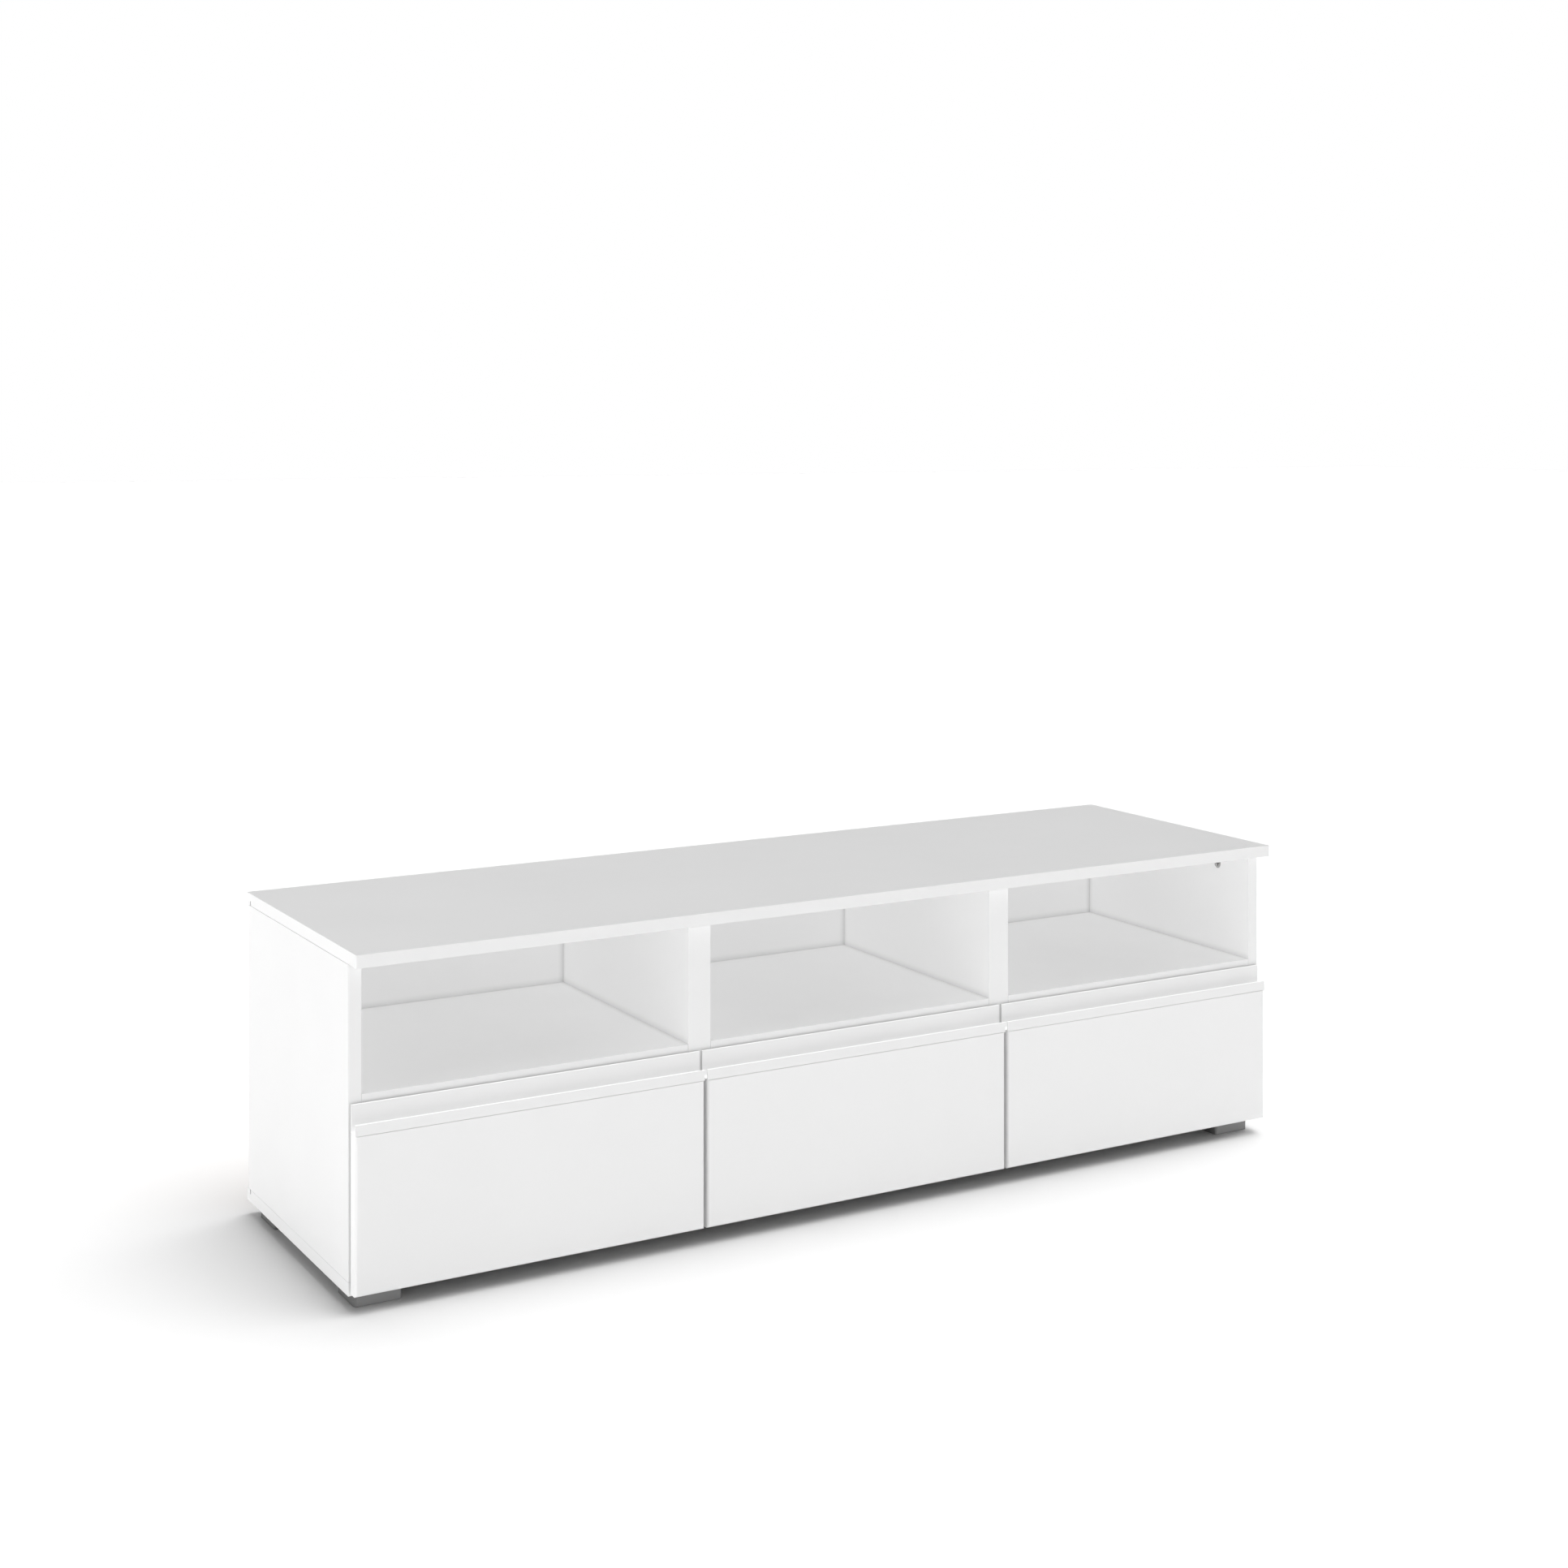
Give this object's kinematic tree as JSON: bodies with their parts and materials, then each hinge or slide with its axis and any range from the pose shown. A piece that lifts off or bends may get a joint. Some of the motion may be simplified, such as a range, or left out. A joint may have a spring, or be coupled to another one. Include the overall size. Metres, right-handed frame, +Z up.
{
  "type": "tv stand with doors",
  "caption": "Low white TV stand with open niches over drop-down doors, each with a full-width grip profile, on square block feet.",
  "frame": {"origin": "middle of the footprint, on the floor", "axes": "+X to the right along the width, +Y to the rear, +Z up; the doors face -Y"},
  "size_m": [1.4, 0.423, 0.425],
  "materials": {
    "white_melamine": "white melamine on particle board, satin",
    "white_hardboard": "white painted hardboard, matte",
    "white_foil": "white foil wrapped over MDF, satin",
    "white_plastic_profile": "white extruded plastic, semi-gloss",
    "grey_plastic_foot": "grey moulded plastic, matte",
    "zinc_casting": "nickel-plated zinc casting",
    "plated_steel": "bright plated steel",
    "white_stay_plastic": "white moulded plastic, matte"
  },
  "bodies": {
    "carcass": {"top_panel": "white_melamine", "bottom_panel": "white_melamine", "left_side_panel": "white_melamine", "right_side_panel": "white_melamine", "divider_1": "white_melamine", "divider_2": "white_melamine", "left_shelf": "white_melamine", "middle_shelf": "white_melamine", "right_shelf": "white_melamine", "back_panel": "white_hardboard", "front_left_foot": "grey_plastic_foot", "front_right_foot": "grey_plastic_foot", "rear_left_foot": "grey_plastic_foot", "rear_right_foot": "grey_plastic_foot", "left_front_cam": "zinc_casting", "left_rear_cam": "zinc_casting", "right_front_cam": "zinc_casting", "right_rear_cam": "zinc_casting", "left_hinge_arm_1": "plated_steel", "left_hinge_arm_2": "plated_steel", "left_stay_plate": "plated_steel", "left_catch": "white_stay_plastic", "middle_hinge_arm_1": "plated_steel", "middle_hinge_arm_2": "plated_steel", "middle_stay_plate": "plated_steel", "middle_catch": "white_stay_plastic", "right_hinge_arm_1": "plated_steel", "right_hinge_arm_2": "plated_steel", "right_stay_plate": "plated_steel", "right_catch": "white_stay_plastic"},
    "left_door": {"left_door_panel": "white_foil", "left_door_grip": "white_plastic_profile", "left_hinge_cup_1": "zinc_casting", "left_hinge_cup_2": "zinc_casting", "left_hinge_pin_1": "plated_steel", "left_hinge_pin_2": "plated_steel", "left_stay_bracket": "plated_steel", "left_strike": "plated_steel"},
    "left_rod": {"left_stay_rod": "plated_steel"},
    "left_housing": {"left_stay_housing": "white_stay_plastic"},
    "middle_door": {"middle_door_panel": "white_foil", "middle_door_grip": "white_plastic_profile", "middle_hinge_cup_1": "zinc_casting", "middle_hinge_cup_2": "zinc_casting", "middle_hinge_pin_1": "plated_steel", "middle_hinge_pin_2": "plated_steel", "middle_stay_bracket": "plated_steel", "middle_strike": "plated_steel"},
    "middle_rod": {"middle_stay_rod": "plated_steel"},
    "middle_housing": {"middle_stay_housing": "white_stay_plastic"},
    "right_door": {"right_door_panel": "white_foil", "right_door_grip": "white_plastic_profile", "right_hinge_cup_1": "zinc_casting", "right_hinge_cup_2": "zinc_casting", "right_hinge_pin_1": "plated_steel", "right_hinge_pin_2": "plated_steel", "right_stay_bracket": "plated_steel", "right_strike": "plated_steel"},
    "right_rod": {"right_stay_rod": "plated_steel"},
    "right_housing": {"right_stay_housing": "white_stay_plastic"}
  },
  "joints": [
    {"name": "left_door_hinge", "type": "hinge", "parent": "carcass", "child": "left_door", "pos_m": [-0.46667, -0.1953, 0.0284], "axis": [1, 0, 0], "range_deg": [0, 90]},
    {"name": "left_rod_pivot", "type": "hinge", "parent": "left_door", "child": "left_rod", "pos_m": [-0.26163, -0.1785, 0.1663], "axis": [1, 0, 0], "range_deg": [-45, 0]},
    {"name": "left_housing_swivel", "type": "hinge", "parent": "carcass", "child": "left_housing", "pos_m": [-0.26163, -0.10424, 0.13332], "axis": [1, 0, 0], "range_deg": [0, 45]},
    {"name": "middle_door_hinge", "type": "hinge", "parent": "carcass", "child": "middle_door", "pos_m": [0, -0.1953, 0.0284], "axis": [1, 0, 0], "range_deg": [0, 90]},
    {"name": "middle_rod_pivot", "type": "hinge", "parent": "middle_door", "child": "middle_rod", "pos_m": [0.20503, -0.1785, 0.1663], "axis": [1, 0, 0], "range_deg": [-45, 0]},
    {"name": "middle_housing_swivel", "type": "hinge", "parent": "carcass", "child": "middle_housing", "pos_m": [0.20503, -0.10424, 0.13332], "axis": [1, 0, 0], "range_deg": [0, 45]},
    {"name": "right_door_hinge", "type": "hinge", "parent": "carcass", "child": "right_door", "pos_m": [0.46667, -0.1953, 0.0284], "axis": [1, 0, 0], "range_deg": [0, 90]},
    {"name": "right_rod_pivot", "type": "hinge", "parent": "right_door", "child": "right_rod", "pos_m": [0.6717, -0.1785, 0.1663], "axis": [1, 0, 0], "range_deg": [-45, 0]},
    {"name": "right_housing_swivel", "type": "hinge", "parent": "carcass", "child": "right_housing", "pos_m": [0.6717, -0.10424, 0.13332], "axis": [1, 0, 0], "range_deg": [0, 45]}
  ],
  "couplings": [
    {"joint": "left_rod_pivot", "follows": "left_door_hinge", "ratio": -0.5},
    {"joint": "left_housing_swivel", "follows": "left_door_hinge", "ratio": 0.5},
    {"joint": "middle_rod_pivot", "follows": "middle_door_hinge", "ratio": -0.5},
    {"joint": "middle_housing_swivel", "follows": "middle_door_hinge", "ratio": 0.5},
    {"joint": "right_rod_pivot", "follows": "right_door_hinge", "ratio": -0.5},
    {"joint": "right_housing_swivel", "follows": "right_door_hinge", "ratio": 0.5}
  ]
}
